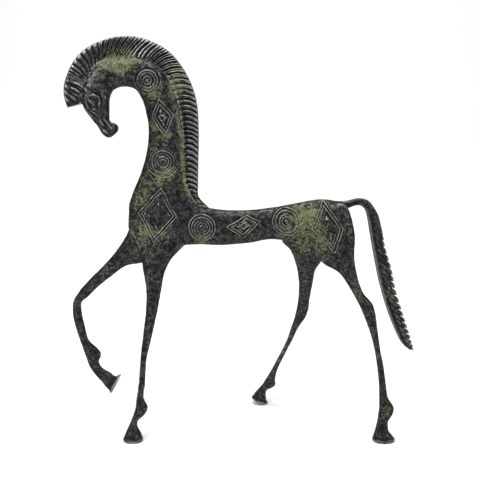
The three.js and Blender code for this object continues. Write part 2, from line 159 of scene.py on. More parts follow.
FAR_HIND_LEG = (
    (36.5, 158.5, 67.5, 153, 3, 11),
    (29.8, 139, 64.5, 135.5, 4, 11.5),
    (36, 132, 58.5, 124, 6, 11),
    (40.2, 121.5, 54.8, 117, 9, 10),
    (42.8, 108.5, 53.6, 108, 13, 8.8),
    (43, 91.5, 51.5, 91.5, 17, 7.6),
    (41.9, 82, 50.9, 82.5, 20, 7.2),
    (40.6, 75.5, 48.9, 76.5, 21.7, 6.8),
    (38.8, 68.5, 44.8, 69.5, 23.5, 6.2),
    (35.1, 55.5, 40.3, 58, 27, 5.4),
    (28.6, 39.5, 33.5, 41.5, 31.5, 5),
    (23.6, 28.2, 29, 29.5, 34.5, 5.6),
    (19.7, 20.5, 27.7, 21, 36.5, 7),
    (16.9, 15.6, 27.8, 15.9, 37.5, 7.2),
    (14.3, 12.2, 21, 11.2, 38.5, 6.5),
    (11.8, 9, 20.6, 5.8, 39.2, 8.8),
    (9.2, 4, 22.2, -1.8, 40, 11.5),
)
MANE = (
    (-5, -108, 235, -117.6, 232.5),
    (-3, -105.5, 240, -119.6, 240.5),
    (-1, -106, 245, -119.2, 248),
    (1, -106.5, 249.5, -117, 254.5),
    (4, -102.5, 252, -113.3, 262),
    (6, -100, 256.5, -107.6, 268.8),
    (8, -96.5, 260.5, -99.8, 274.2),
    (10, -93, 262.5, -91, 277.7),
    (13, -86.5, 264, -78.5, 280),
    (16, -76.5, 264.5, -64.5, 278.5),
    (18, -65, 263, -54.6, 274.4),
    (20, -59.5, 261, -47, 269.4),
    (22, -55, 258, -41, 262.9),
    (24, -50, 253.5, -36, 255.2),
    (27, -44.5, 244, -31, 243.5),
    (30, -42, 234.5, -28.7, 232.5),
    (33, -40, 224, -28.2, 221.5),
    (37, -39, 212, -28.2, 208.5),
    (41, -39, 196, -28.7, 193),
    (45, -38, 181, -29, 179),
    (47, -34.5, 173, -29, 172.3),
    (50, -27.5, 163.5, -21.6, 163.4),
)
TAIL = (
    (-5, 68.5, 160, 65.5, 168),
    (-4, 77, 164, 75.5, 168.9),
    (-3, 82.5, 165.5, 82.5, 170.5),
    (-2, 86.5, 163.5, 90, 168.5),
    (-1, 88.3, 160, 96.5, 159.5),
    (0, 89.1, 157, 99.5, 150),
    (3, 91.9, 142.5, 103, 135),
    (6, 95.1, 127, 108, 119.3),
    (9, 99, 110.5, 111.5, 104.5),
    (12, 104, 94, 116.8, 88.5),
    (15, 110.5, 77.5, 121.5, 75),
    (18, 118, 63.5, 125.2, 63.5),
    (19.4, 122.5, 59.8, 126.5, 59),
)
MANE_ROOT_HALF = 3.6
MANE_CREST_HALF = 2.3
MANE_BURIED = 0.24
TAIL_ROOT_HALF = 2.9
TAIL_TIP_HALF = 1.9

# Carving is a list of ridges, with a height above nothing, and grooves, below it. Rings: centre, then each
# line's radius, half width and height.
RINGS = (
    ((-61.9, 250.8), (
        (0, 1.0, 0.5), (1.75, 0.4, -0.4), (2.6, 0.45, 0.25), (3.7, 0.55, -0.5), (4.9, 0.5, 0.28),
        (5.9, 0.3, -0.12), (6.7, 0.5, 0.28), (7.9, 0.6, -0.55),
    )),
    ((-52.6, 196.3), (
        (0, 0.8, -0.4), (1.6, 0.5, 0.32), (2.6, 0.4, -0.3), (3.7, 0.5, 0.36), (4.7, 0.5, -0.42),
        (5.6, 0.4, 0.12), (6.5, 0.5, -0.32), (7.6, 0.5, 0.36), (8.4, 0.3, -0.2), (9.1, 0.4, 0.22),
    )),
    ((-26.4, 150.7), (
        (0, 0.9, -0.2), (1.5, 0.45, 0.3), (2.4, 0.4, -0.3), (3.4, 0.45, 0.32), (4.3, 0.4, -0.3),
        (5.3, 0.5, 0.3), (6.2, 0.4, -0.36), (7.2, 0.45, 0.34), (8.1, 0.4, -0.36), (9.1, 0.5, 0.34),
        (10, 0.4, -0.3),
    )),
    ((32.2, 154.7), (
        (0, 0.9, 0.3), (2.1, 0.5, -0.4), (3.1, 0.45, 0.32), (3.9, 0.35, -0.2), (4.7, 0.45, 0.3),
        (6.2, 0.75, -0.42), (7.6, 0.45, 0.36), (8.5, 0.4, -0.4), (9.4, 0.45, 0.36),
        (10.3, 0.4, -0.32),
    )),
    ((49.6, 154.7), ((0, 0.7, -0.25), (1.6, 0.5, 0.28), (2.6, 0.5, -0.28))),
    ((46.4, 132.8), ((0, 0.9, 0.25), (1.9, 0.5, -0.3), (3, 0.5, 0.25), (4.2, 0.5, -0.28))),
)
# Lower arcs of the second and third ring: centre, radius, half width, height, first and last angle.
ARCS = (
    ((-52.6, 196.3), 10, 0.4, -0.4, 190, 350),
    ((-52.6, 196.3), 10.8, 0.4, 0.34, 188, 352),
    ((-52.6, 196.3), 11.5, 0.35, -0.3, 190, 350),
    ((-26.4, 150.7), 9.8, 0.5, 0.22, 215, 330),
)
# Lozenges: corners top, rear, bottom, front; those of the inner one; and whether it has a pupil or is smooth.
LOZENGES = (
    (
        ((-54.4, 238), (-44.9, 227.9), (-50.9, 213.8), (-59.6, 226.4)),
        ((-53.6, 232), (-48.4, 226.6), (-51.2, 219.2), (-56.6, 226.6)),
        "pupil",
    ),
    (
        ((-54.2, 178.2), (-44, 158.3), (-60, 140.8), (-70, 161.6)),
        ((-56, 169.2), (-48.4, 159.7), (-58.2, 149.1), (-64.4, 159.7)),
        "smooth",
    ),
    (
        ((4.6, 158.9), (13.9, 155), (2.7, 143.2), (-9.1, 151.1)),
        ((2.4, 156.3), (8.6, 152), (3, 148.3), (-3.4, 151.1)),
        "pupil",
    ),
    (
        ((57.6, 169.3), (71.4, 150.6), (65.7, 133.6), (50, 150)),
        ((59.6, 159.3), (66.2, 152.2), (63.4, 141.9), (56.4, 152.2)),
        "smooth",
    ),
)
LOZENGE_LINES = ((-0.95, 0.4, -0.32), (0, 0.42, 0.4), (0.9, 0.38, -0.4), (1.8, 0.42, 0.34), (2.7, 0.42, -0.3))

# Strokes: half width, height, then the run of x and z.
FACE = (
    (0.55, -0.9, ((-100, 242.9), (-97.3, 242.4), (-94.7, 241.2), (-93.1, 239.2), (-92.7, 235.9), (-94, 232.9))),
    (0.95, 0.75, ((-100.5, 240.7), (-97.6, 240.7), (-95.2, 239.3), (-94.4, 236.6), (-95.2, 234))),
    (0.7, -0.7, ((-101.4, 238.8), (-98.8, 238.4), (-96.8, 237), (-96.2, 234.4))),
    (0.5, 0.6, ((-103.6, 240.2), (-101.4, 237.6), (-99.1, 235.9), (-97.3, 233.3))),
    (0.45, -0.5, ((-101.9, 235.9), (-101, 232.8), (-99.3, 231), (-96.8, 229.6))),
    (0.6, 0.85, ((-104.7, 242.5), (-103.5, 237.9), (-102.3, 233.9), (-100.1, 230.7), (-96.1, 227.5))),
    (0.5, -0.5, ((-104.8, 237), (-103.4, 233), (-101.4, 229.8), (-97.4, 226.5))),
    (0.5, 0.5, ((-106, 234.9), (-103.7, 231.4), (-101.1, 228.3), (-98.5, 225.4))),
    (0.55, 0.7, ((-95, 223.9), (-93.5, 222.2), (-91.9, 220.7))),
    (0.55, 0.7, ((-92.7, 225.7), (-91.1, 223.9), (-89.2, 221.2), (-86.9, 218.2))),
    (0.55, 0.7, ((-93.4, 218.2), (-91.8, 216.7), (-90, 215.9))),
    (0.5, -0.6, ((-94, 225), (-92.5, 222.7), (-91.6, 219.9))),
    (0.5, -0.55, ((-94.5, 220.4), (-92.6, 218.8), (-90.4, 217.6), (-88.2, 216.2))),
    (0.5, -0.6, ((-90.6, 225.4), (-88.6, 222.8), (-86.4, 220.2))),
    (0.55, -0.5, ((-93.3, 233.3), (-92.1, 229.6), (-90.5, 225.6))),
    (0.6, -0.8, ((-89, 244.5), (-89.3, 241.2), (-89.6, 237.9), (-89.4, 233.9), (-89.4, 229.9))),
    (0.5, 0.5, ((-92.8, 242.3), (-91.9, 240.8), (-90.6, 239.9))),
    (0.8, 0.6, ((-106.5, 246.6), (-104.3, 244.8), (-102.8, 242.6))),
    (0.5, -0.6, ((-107.4, 244.4), (-105.2, 242.4), (-104.1, 239.6))),
    (0.5, -0.5, ((-104.8, 247.4), (-102, 245.2), (-100, 242.9))),
)
# Locks of the forelock, on the front end of the mane.
FORELOCK = (
    (0.9, 0.7, ((-117.1, 251.1), (-114.2, 249.6), (-110, 248.6), (-106, 247))),
    (0.6, -0.7, ((-117.6, 249), (-113.4, 248.4), (-109.4, 247.2), (-106, 245))),
    (0.9, 0.85, ((-112.4, 250), (-108.2, 247.9), (-104.3, 244.9))),
    (0.6, -0.9, ((-114.6, 247.6), (-110.6, 246.2), (-106.6, 243.2))),
    (0.8, 0.7, ((-114.8, 246.5), (-111.7, 245.1), (-108.4, 242.8))),
    (0.5, -0.7, ((-116, 245.6), (-112.6, 243.6), (-108.6, 241))),
    (0.7, 0.6, ((-118.6, 247.8), (-114.4, 244.1), (-110.2, 241), (-107.6, 239.6))),
    (0.5, -0.6, ((-118.8, 245.8), (-114.6, 242.2), (-110.2, 238.9))),
    (0.7, 0.5, ((-118.8, 243.8), (-114.2, 240.2), (-110, 236.9))),
    (0.5, -0.6, ((-119, 241.8), (-115, 238.4), (-112, 235.6))),
    (0.7, 0.45, ((-119, 239.6), (-115.8, 236.8), (-113.6, 234.6))),
    (0.55, 0.5, ((-107.8, 242.2), (-106.2, 239.5), (-105.6, 237.2))),
)
FOLDS = (
    (0.7, -0.5, ((-77.8, 149), (-75.4, 144.4), (-73, 140.7), (-71, 134), (-69, 125.5))),
    (0.7, 0.4, ((-76.6, 149.6), (-74.2, 145), (-71.8, 141.2), (-69.8, 134.4))),
    (0.8, 0.35, ((31, 143.2), (43, 138.6), (53.5, 133.2), (62.6, 127.6))),
)
# Spots: x, z, half width and height of bumps and hollows of the face.
SPOTS = (
    (-98.6, 232.4, 1.3, 0.8),
    (-90.8, 242.8, 1.8, 0.9),
    (-90.8, 242.8, 0.8, -0.9),
    (-90.4, 239.4, 0.9, 0.6),
    (-92.4, 222.4, 0.6, -0.5),
    (-91.5, 219.8, 0.6, -0.6),
    (-89.3, 217.4, 0.6, -0.6),
    (-86.4, 219.4, 1.5, 0.4),
    (-91.6, 214.6, 1.2, 0.35),
)
# Extra filling where limbs meet: x, z, radius.
FILLETS = (
    (-38, 138, 9), (61, 125, 8), (-72.5, 125, 7), (-25, 165, 5), (30, 141, 7), (-84, 246, 7), (88, 164, 5),
)
# Hooves: front and rear end of the sole, and the direction up the leg.
SOLES = (
    ((-83, 0), (-69, 0), (0, 1)),
    ((94, 0), (110, 0), (0, 1)),
    ((-98, 17.6), (-89.8, 33), (-0.883, 0.47)),
    ((9.2, 4), (22.2, -1.8), (0.407, 0.913)),
)
CARVED = 1.25
CARVED_FAR = 0.9

# Where the verdigris has gathered: x, z, radius, strength.
PATINA = (
    (-80, 258.5, 6, 0.9), (-88, 262, 6, 0.9), (-72, 262, 5, 0.7), (-86, 268, 6, 0.5), (-76, 270, 6, 0.6),
    (-44, 250, 7, 0.8), (-40, 243, 7, 0.7), (-56, 240, 6, 0.6), (-50, 214, 5, 0.8), (-58, 220, 5, 0.7),
    (-61, 244, 5, 0.6), (-52, 186, 7, 0.8), (-58, 206, 6, 0.5), (-47, 190, 5, 0.5), (-62, 180, 8, 0.6),
    (-70, 170, 8, 0.6), (-64, 148, 6, 0.9), (-52, 146, 6, 0.7), (-68, 154, 6, 0.5), (-72, 140, 8, 0.5),
    (-26, 142, 7, 0.8), (4, 152, 9, 0.6), (32, 146, 8, 0.7), (40, 160, 8, 0.7), (52, 164, 9, 0.8),
    (46, 150, 9, 0.6), (56, 146, 8, 0.5), (60, 136, 8, 0.6), (45, 136, 7, 0.7), (76, 150, 8, 0.5),
    (46, 108, 7, 0.4), (82, 108, 7, 0.5), (92, 92, 5, 0.4), (106, 100, 9, 0.5), (102, 120, 8, 0.4),
    (-62, 112, 7, 0.4), (-64, 84, 6, 0.3), (-96, 116, 8, 0.5), (-118, 92, 6, 0.4), (-115, 66, 6, 0.4),
    (-108, 32, 6, 0.3), (-74, 20, 6, 0.3), (103, 22, 6, 0.4), (34, 60, 7, 0.3), (24, 22, 6, 0.3),
)
# Runs of verdigris along the root of the mane.
PATINA_LINES = (
    (
        (-96.5, 258.6), (-95.2, 260.2), (-92.6, 261.9), (-90, 263.1),
        (-85.5, 264.2), (-78.8, 264.5), (-72, 264.2), (-66, 262.4),
    ),
    ((-43.5, 233), (-41, 222), (-39.6, 208), (-39.5, 196), (-38.2, 182), (-35, 173), (-29, 166.5)),
)


def between(rows, places):
    """Values between keyed rows, on a smooth curve through them. The first entry of a row is its knot."""
    rows = np.array(rows, float)
    places = np.asarray(places, float)
    knots, values = rows[:, 0], rows[:, 1:]
    spans = np.diff(knots)[:, None]
    rises = np.diff(values, axis=0) / spans
    inner = (rises[:-1] * spans[1:] + rises[1:] * spans[:-1]) / (spans[:-1] + spans[1:])
    slopes = np.vstack([rises[:1], inner, rises[-1:]])
    cell = np.clip(np.searchsorted(knots, places) - 1, 0, len(spans) - 1)
    start, end = values[cell], values[cell + 1]
    leave, arrive = slopes[cell] * spans[cell], slopes[cell + 1] * spans[cell]
    t = ((places - knots[cell]) / spans[cell, 0])[..., None]
    bend = (2 * (start - end) + leave + arrive) * t + 3 * (end - start) - 2 * leave - arrive
    return (bend * t + leave) * t + start


def smoothstep(low, high, value):
    t = np.clip((value - low) / (high - low), 0, 1)
    return t * t * (3 - 2 * t)


def bell(distance, half_width):
    return np.exp(-((distance / half_width) ** 2))


def tube(grid):
    """Points and faces of a closed form over rows of points, each row a loop, with a fan over both ends."""
    rows, sides = grid.shape[:2]
    index = np.arange(rows * sides).reshape(rows, sides)
    here, over = index[:-1], index[1:]
    quads = np.stack([here, np.roll(here, -1, 1), np.roll(over, -1, 1), over], -1).reshape(-1, 4)
    faces = [tuple(q) for q in quads.tolist()]
    points = np.vstack([grid.reshape(-1, 3), grid[0].mean(0), grid[-1].mean(0)])
    for s in range(sides):
        t = (s + 1) % sides
        faces.append((rows * sides, index[0, t], index[0, s]))
        faces.append((rows * sides + 1, index[-1, s], index[-1, t]))
    return points, faces


def to_object(name, points, faces):
    mesh = bpy.data.meshes.new(name)
    mesh.from_pydata(points.tolist(), [], faces)
    mesh.validate()
    form = bmesh.new()
    form.from_mesh(mesh)
    bmesh.ops.recalc_face_normals(form, faces=form.faces)
    if form.calc_volume(signed=True) < 0:
        bmesh.ops.reverse_faces(form, faces=form.faces)
    form.to_mesh(mesh)
    form.free()
    obj = bpy.data.objects.new(name, mesh)
    bpy.context.scene.collection.objects.link(obj)
    return obj


def applied(obj):
    """The object's mesh with its modifiers applied, in its place."""
    finished = bpy.data.meshes.new_from_object(obj.evaluated_get(bpy.context.evaluated_depsgraph_get()))
    obj.modifiers.clear()
    old = obj.data
    obj.data = finished
    bpy.data.meshes.remove(old)
    return obj


def positions(mesh):
    flat = np.empty(len(mesh.vertices) * 3, np.float32)
    mesh.vertices.foreach_get("co", flat)
    return flat.reshape(-1, 3).astype(float)


def normals(mesh):
    flat = np.empty(len(mesh.vertices) * 3, np.float32)
    mesh.vertex_normals.foreach_get("vector", flat)
    return flat.reshape(-1, 3).astype(float)


def edges_of(mesh):
    flat = np.empty(len(mesh.edges) * 2, np.int32)
    mesh.edges.foreach_get("vertices", flat)
    return flat.reshape(-1, 2)


def move_to(mesh, points):
    mesh.vertices.foreach_set("co", points.astype(np.float32).ravel())
    mesh.update()


def mean_of_neighbours(values, edges):
    count = len(values)
    ends, others = edges.T.ravel(), edges[:, ::-1].T.ravel()
    total = np.stack([np.bincount(ends, values[others, axis], count) for axis in range(values.shape[1])], 1)
    return total / np.maximum(np.bincount(ends, minlength=count), 1)[:, None]


def smoothed(points, edges, rounds, mask=1.0):
    """Smoothing that keeps the volume: each pull together is followed by a slightly longer push apart."""
    for _ in range(rounds):
        for share in (0.5, -0.52):
            points = points + share * mask * (mean_of_neighbours(points, edges) - points)
    return points


def loft(stations, power):
    stations = np.array(stations, float)
    middles = np.column_stack([
        stations[:, 0] + stations[:, 2], stations[:, 1] + stations[:, 3], 2 * stations[:, 4],
    ]) / 2
    knots = np.concatenate([[0], np.cumsum(np.linalg.norm(np.diff(middles, axis=0), axis=1))])
    places = np.linspace(0, knots[-1], int(knots[-1] / LOFT_STEP))
    ax, az, bx, bz, y, thickness = between(np.column_stack([knots, stations]), places).T[:, :, None]
    angle = 2 * math.pi * np.arange(LOFT_SIDES) / LOFT_SIDES
    along = np.sign(np.cos(angle)) * np.abs(np.cos(angle)) ** (2 / power)
    across = np.sign(np.sin(angle)) * np.abs(np.sin(angle)) ** (2 / power)
    return tube(np.stack([
        (ax + bx) / 2 + along * (ax - bx) / 2,
        y + across * thickness / 2,
        (az + bz) / 2 + along * (az - bz) / 2,
    ], -1))


def solid_body():
    """The limbs fused into one skin of even faces, with soft fillets where they meet."""
    points, faces, first = [], [], 0
    limbs = [(TRUNK, TRUNK_POWER), (NECK, TRUNK_POWER), (HEAD, TRUNK_POWER)]
    limbs += [(leg, LEG_POWER) for leg in (NEAR_FORELEG, FAR_FORELEG, NEAR_HIND_LEG, FAR_HIND_LEG)]
    for stations, power in limbs:
        limb_points, limb_faces = loft(stations, power)
        points.append(limb_points)
        faces += [tuple(first + k for k in face) for face in limb_faces]
        first += len(limb_points)
    body = to_object("body", np.vstack(points), faces)
    remesh = body.modifiers.new("fuse", "REMESH")
    remesh.mode = "VOXEL"
    remesh.voxel_size = VOXEL
    applied(body)
    mesh = body.data
    edges = edges_of(mesh)
    points = smoothed(positions(mesh), edges, 5)
    above_legs = smoothstep(96, 118, points[:, 2])[:, None]
    for _ in range(int(22 / VOXEL)):
        move_to(mesh, points)
        normal = normals(mesh)
        pull = np.sum((mean_of_neighbours(points, edges) - points) * normal, 1, keepdims=True)
        points = points + 0.7 * (0.12 + 0.88 * above_legs) * np.maximum(pull - 0.006, 0) * normal
    corner = sum(bell(np.hypot(points[:, 0] - x, points[:, 2] - z), radius) for x, z, radius in FILLETS)[:, None]
    for _ in range(int(50 / VOXEL)):
        move_to(mesh, points)
        normal = normals(mesh)
        pull = np.sum((mean_of_neighbours(points, edges) - points) * normal, 1, keepdims=True)
        points = points + np.minimum(corner, 0.9) * np.maximum(pull - 0.002, 0) * normal
    move_to(mesh, smoothed(points, edges, 3))
    return body


def stroke_height(x, z, half_width, height, run):
    """Height of a tapered ridge or groove along a run of points."""
    run = np.array(run, float)
    lengths = np.linalg.norm(np.diff(run, axis=0), axis=1)
    starts = np.concatenate([[0], np.cumsum(lengths)])
    out = np.zeros_like(x)
    low, high = run.min(0) - 3, run.max(0) + 3
    near = np.flatnonzero((x > low[0]) & (x < high[0]) & (z > low[1]) & (z < high[1]))
    best = np.full(len(near), 99.0)
    place = np.zeros(len(near))
    for k, length in enumerate(lengths):
        way = (run[k + 1] - run[k]) / length
        dx, dz = x[near] - run[k, 0], z[near] - run[k, 1]
        t = np.clip(dx * way[0] + dz * way[1], 0, length)
        gap = np.hypot(dx - t * way[0], dz - t * way[1])
        closer = gap < best
        best = np.where(closer, gap, best)
        place = np.where(closer, starts[k] + t, place)
    ends = np.minimum(place, starts[-1] - place) / starts[-1]
    looped = np.allclose(run[0], run[-1])
    out[near] = height * bell(best, half_width) * (1 if looped else 0.35 + 0.65 * smoothstep(0, 0.2, ends))
    return out


def inside_by(x, z, corners):
    """Distance inside a four-cornered line, below zero outside it."""
    corners = np.array(corners, float)
    depth = np.full_like(x, 99.0)
    for k in range(4):
        a, b = corners[k], corners[(k + 1) % 4]
        way = (b - a) / np.linalg.norm(b - a)
        depth = np.minimum(depth, (x - a[0]) * way[1] - (z - a[1]) * way[0])
    return depth


def ornament_height(x, z, full):
    """Rings and lozenges. The far side has only the outer line of each."""
    out = np.zeros_like(x)
    for (cx, cz), lines in RINGS:
        radius = np.hypot(x - cx, z - cz)
        for at, half_width, height in lines if full else lines[-2:]:
            out += height * bell(radius - at, half_width)
    if full:
        for (cx, cz), at, half_width, height, first, last in ARCS:
            angle = np.degrees(np.arctan2(z - cz, x - cx)) % 360
            ends = smoothstep(first, first + 14, angle) * (1 - smoothstep(last - 14, last, angle))
            out += ends * height * bell(np.hypot(x - cx, z - cz) - at, half_width)
    for corners, inner, style in LOZENGES:
        depth = inside_by(x, z, corners)
        for at, half_width, height in LOZENGE_LINES if full else LOZENGE_LINES[:3]:
            out += height * bell(depth - at, half_width)
        if full:
            depth = inside_by(x, z, inner)
            out += 0.5 * smoothstep(0, 1.5, depth) - 0.4 * bell(depth + 0.3, 0.45)
            if style == "pupil":
                middle = np.mean(inner, 0)
                radius = np.hypot(x - middle[0], z - middle[1])
                out += 0.35 * bell(radius - 1.7, 0.45) - 0.5 * bell(radius, 0.8)
            else:
                out -= 0.16 * bell(depth - 1.3, 0.35) * (x > np.mean(inner, 0)[0] - 1)
    return out


def strokes_height(x, z, strokes):
    return sum(stroke_height(x, z, *stroke) for stroke in strokes)


def ripples(points, size, shift):
    """A smooth random value between about -1 and 1 at each point."""
    shift = Vector((shift, 2 * shift, -shift))
    return np.array([noise.noise(Vector(p) / size + shift) for p in points.tolist()])


def carving(points, normal):
    """The carved height at each point, drawn by a hand that wavers, and worn in places."""
    x = points[:, 0] + 0.4 * ripples(points, 6, 3.1)
    z = points[:, 2] + 0.4 * ripples(points, 6, 7.7)
    worn = np.clip(0.95 + 0.75 * ripples(points, 7, 11.3), 0.35, 1.25)
    near = smoothstep(0.2, 0.6, -normal[:, 1])
    far = smoothstep(0.2, 0.6, normal[:, 1])
    drawn = strokes_height(x, z, FACE + FOLDS)
    for cx, cz, half_width, height in SPOTS:
        drawn = drawn + height * bell(np.hypot(x - cx, z - cz), half_width)
    height = near * (CARVED * worn * ornament_height(x, z, True) + drawn)
    height = height + far * (CARVED_FAR * worn * ornament_height(x, z, False) + 0.8 * drawn)
    # Each hoof has a rim round the sole and a line above it.
    for front, rear, up in SOLES:
        above = (x - front[0]) * up[0] + (z - front[1]) * up[1]
        along = (x - front[0]) * up[1] - (z - front[1]) * up[0]
        long = math.hypot(rear[0] - front[0], rear[1] - front[1])
        here = (above < 8) & (along > -4) & (along < long + 4)
        height = height + here * (0.3 * bell(above - 1.5, 0.8) - 0.35 * bell(above - 3.3, 0.7))
    return height


def worked_places(x, z, ny):
    """Where the carving needs finer faces."""
    wanted = (x < -84) & (z > 212) & (z < 246)
    for (cx, cz), lines in RINGS:
        radius = np.hypot(x - cx, z - cz)
        outer = lines[-1][0] + 1.6
        wanted |= (radius < outer) & ((ny < 0) | (radius > outer - 4))
    wanted |= (np.hypot(x + 52.6, z - 196.3) < 13) & (z < 198) & (ny < 0)
    for corners, _, _ in LOZENGES:
        depth = inside_by(x, z, corners)
        wanted |= (depth > -2) & ((ny < 0) | (depth < 2.2))
    return wanted & (np.abs(ny) > 0.25)


def carve(body):
    mesh = body.data
    form = bmesh.new()
    form.from_mesh(mesh)
    form.normal_update()
    centres = np.array([face.calc_center_median() for face in form.faces])
    facing = np.array([face.normal[1] for face in form.faces])
    wanted = worked_places(centres[:, 0], centres[:, 2], facing)
    form.faces.ensure_lookup_table()
    edges = {edge for k in np.flatnonzero(wanted) for edge in form.faces[k].edges}
    bmesh.ops.subdivide_edges(form, edges=list(edges), cuts=1, use_grid_fill=True)
    form.to_mesh(mesh)
    form.free()
    points = smoothed(positions(mesh), edges_of(mesh), 2)
    move_to(mesh, points)
    normal = normals(mesh)
    rough = 0.13 * ripples(points, 4.2, 0) + 0.08 * ripples(points, 1.9, 5)
    points = points + (carving(points, normal) + rough)[:, None] * normal
    # Flat soles with a soft edge.
    points[:, 2] = np.maximum(points[:, 2], 0)
    move_to(mesh, points)
    return body


MANE_ROWS = (0, 0.07, 0.16, 0.29, 0.42, 0.5, 0.58, 0.71, 0.84, 0.93)
MANE_COLUMNS = (
    -MANE_BURIED, -0.1, -0.02, 0.05, 0.11, 0.18, 0.27, 0.37, 0.48, 0.59, 0.69, 0.78, 0.86, 0.92, 0.965, 0.99,
)


def mane():
    """A band of strands: grooves run from the root to the crest, and a second groove splits some strands."""
    rng = np.random.default_rng(7)
    first, last = int(MANE[0][0]), int(MANE[-1][0])
    strands = np.arange(first, last)
    base = np.concatenate([strands[:, None] + np.array(MANE_ROWS)[None, :]], 1).ravel()
    base = np.append(base, last)
    share = np.array(MANE_COLUMNS)
    place, s = np.meshgrid(base, share, indexing="ij")
    bow = np.interp(place, (-5, 6, 10, 14, 22, 50), (0.3, 0.3, 0, -0.2, -0.45, -0.45))
    inside = np.clip(s, 0, 1)
    fade = smoothstep(first, first + 2, place) * (1 - smoothstep(last - 3, last, place))
    curved = np.clip(place + fade * bow * 4 * inside * (1 - inside), first, last)
    keys = between(MANE, curved.ravel()).reshape(*curved.shape, 4)
    ax, az, bx, bz = np.moveaxis(keys, -1, 0)
    length = np.hypot(bx - ax, bz - az)
    # Spacing of the strands here, which limits how deep and wide a groove can be.
    ahead = between(MANE, np.clip(curved + 0.5, first, last).ravel()).reshape(*curved.shape, 4)
    behind = between(MANE, np.clip(curved - 0.5, first, last).ravel()).reshape(*curved.shape, 4)
    here = [
        (k[..., 0] + (k[..., 2] - k[..., 0]) * s, k[..., 1] + (k[..., 3] - k[..., 1]) * s)
        for k in (ahead, behind)
    ]
    pitch = np.hypot(here[0][0] - here[1][0], here[0][1] - here[1][1])
    u = place - np.floor(place + 1e-6)
    gap = np.minimum(u, 1 - u) * pitch
    middle_gap = np.abs(u - 0.5) * pitch
    number = np.clip(np.floor(place + 1e-6), first, last).astype(int)
    jitter = rng.uniform(0.8, 1.15, last - first + 2)[number - first]
    split = np.interp(number, (-5, 2, 8, 10, 22, 25, 50), (0.3, 0.3, 0.4, 0.95, 0.95, 0.25, 0.12))
    reach = smoothstep(-0.02, 0.1, s) * (0.55 + 0.45 * smoothstep(0, 0.3, s))
    reach = reach * (1 - 0.5 * smoothstep(0.93, 1, s))
    fit = np.clip(pitch / 2.6, 0.35, 1) * np.clip(length / 9, 0.2, 1)
    roll = np.interp(place, (-5, 18, 26, 50), (0.25, 0.25, 0.6, 0.65))
    wide = np.interp(place, (-5, 9, 12, 50), (0.9, 0.9, 0.62, 0.62))
    cut = 1.15 * jitter * bell(gap, wide * np.clip(pitch / 3, 0.5, 1.1))
    cut = cut + 0.95 * split * bell(middle_gap, 0.42 * np.clip(pitch / 3, 0.5, 1.1))
    cut = cut + roll * (1 - np.abs(np.sin(math.pi * u)) ** 0.8)
    strand = smoothstep(0.5, 2.5, place)
    cut = cut * reach * fit * strand
    spot_x, spot_z = ax + (bx - ax) * s, az + (bz - az) * s
    lock = strokes_height(spot_x.ravel(), spot_z.ravel(), FORELOCK).reshape(s.shape)
    cut = cut - (1 - strand) * lock
    half = MANE_ROOT_HALF + (MANE_CREST_HALF - MANE_ROOT_HALF) * np.clip(s, 0, 1)
    rim = np.interp(place, (6, 9, 20, 26, 48, 50), (0, 0.5, 0.3, 0.5, 0.5, 0)) * bell((s - 0.06) * length, 0.75)
    edge = np.clip((1 - s) * length / 1.9, 0, 1)
    half = np.maximum((half - cut + rim) * np.sqrt(1 - (1 - edge) ** 2), 0.12)
    # The crest has a small notch at each groove.
    dip = strand * (0.3 * bell(gap, 0.55) + 0.1 * split * bell(middle_gap, 0.4))
    out = s - smoothstep(0.6, 1, s) * dip * fit / length
    x = ax + (bx - ax) * out
    z = az + (bz - az) * out
    near = np.stack([x, -half, z], -1)
    far = np.stack([x, half, z], -1)[:, ::-1]
    tip_dip = dip[:, -1] * fit[:, -1] / length[:, -1]
    tip_x = ax[:, -1] + (bx - ax)[:, -1] * (1 - tip_dip)
    tip_z = az[:, -1] + (bz - az)[:, -1] * (1 - tip_dip)
    tip = np.stack([tip_x, 0 * tip_dip, tip_z], -1)
    return to_object("mane", *tube(np.concatenate([near, tip[:, None], far], 1)))


TAIL_ROWS = (0, 0.05, 0.12, 0.22, 0.36, 0.5, 0.64, 0.77, 0.86, 0.92, 0.96)
TAIL_COLUMNS = (0.015, 0.05, 0.1, 0.16, 0.22, 0.28, 0.34, 0.42, 0.52, 0.62, 0.71, 0.79, 0.86, 0.92, 0.965)


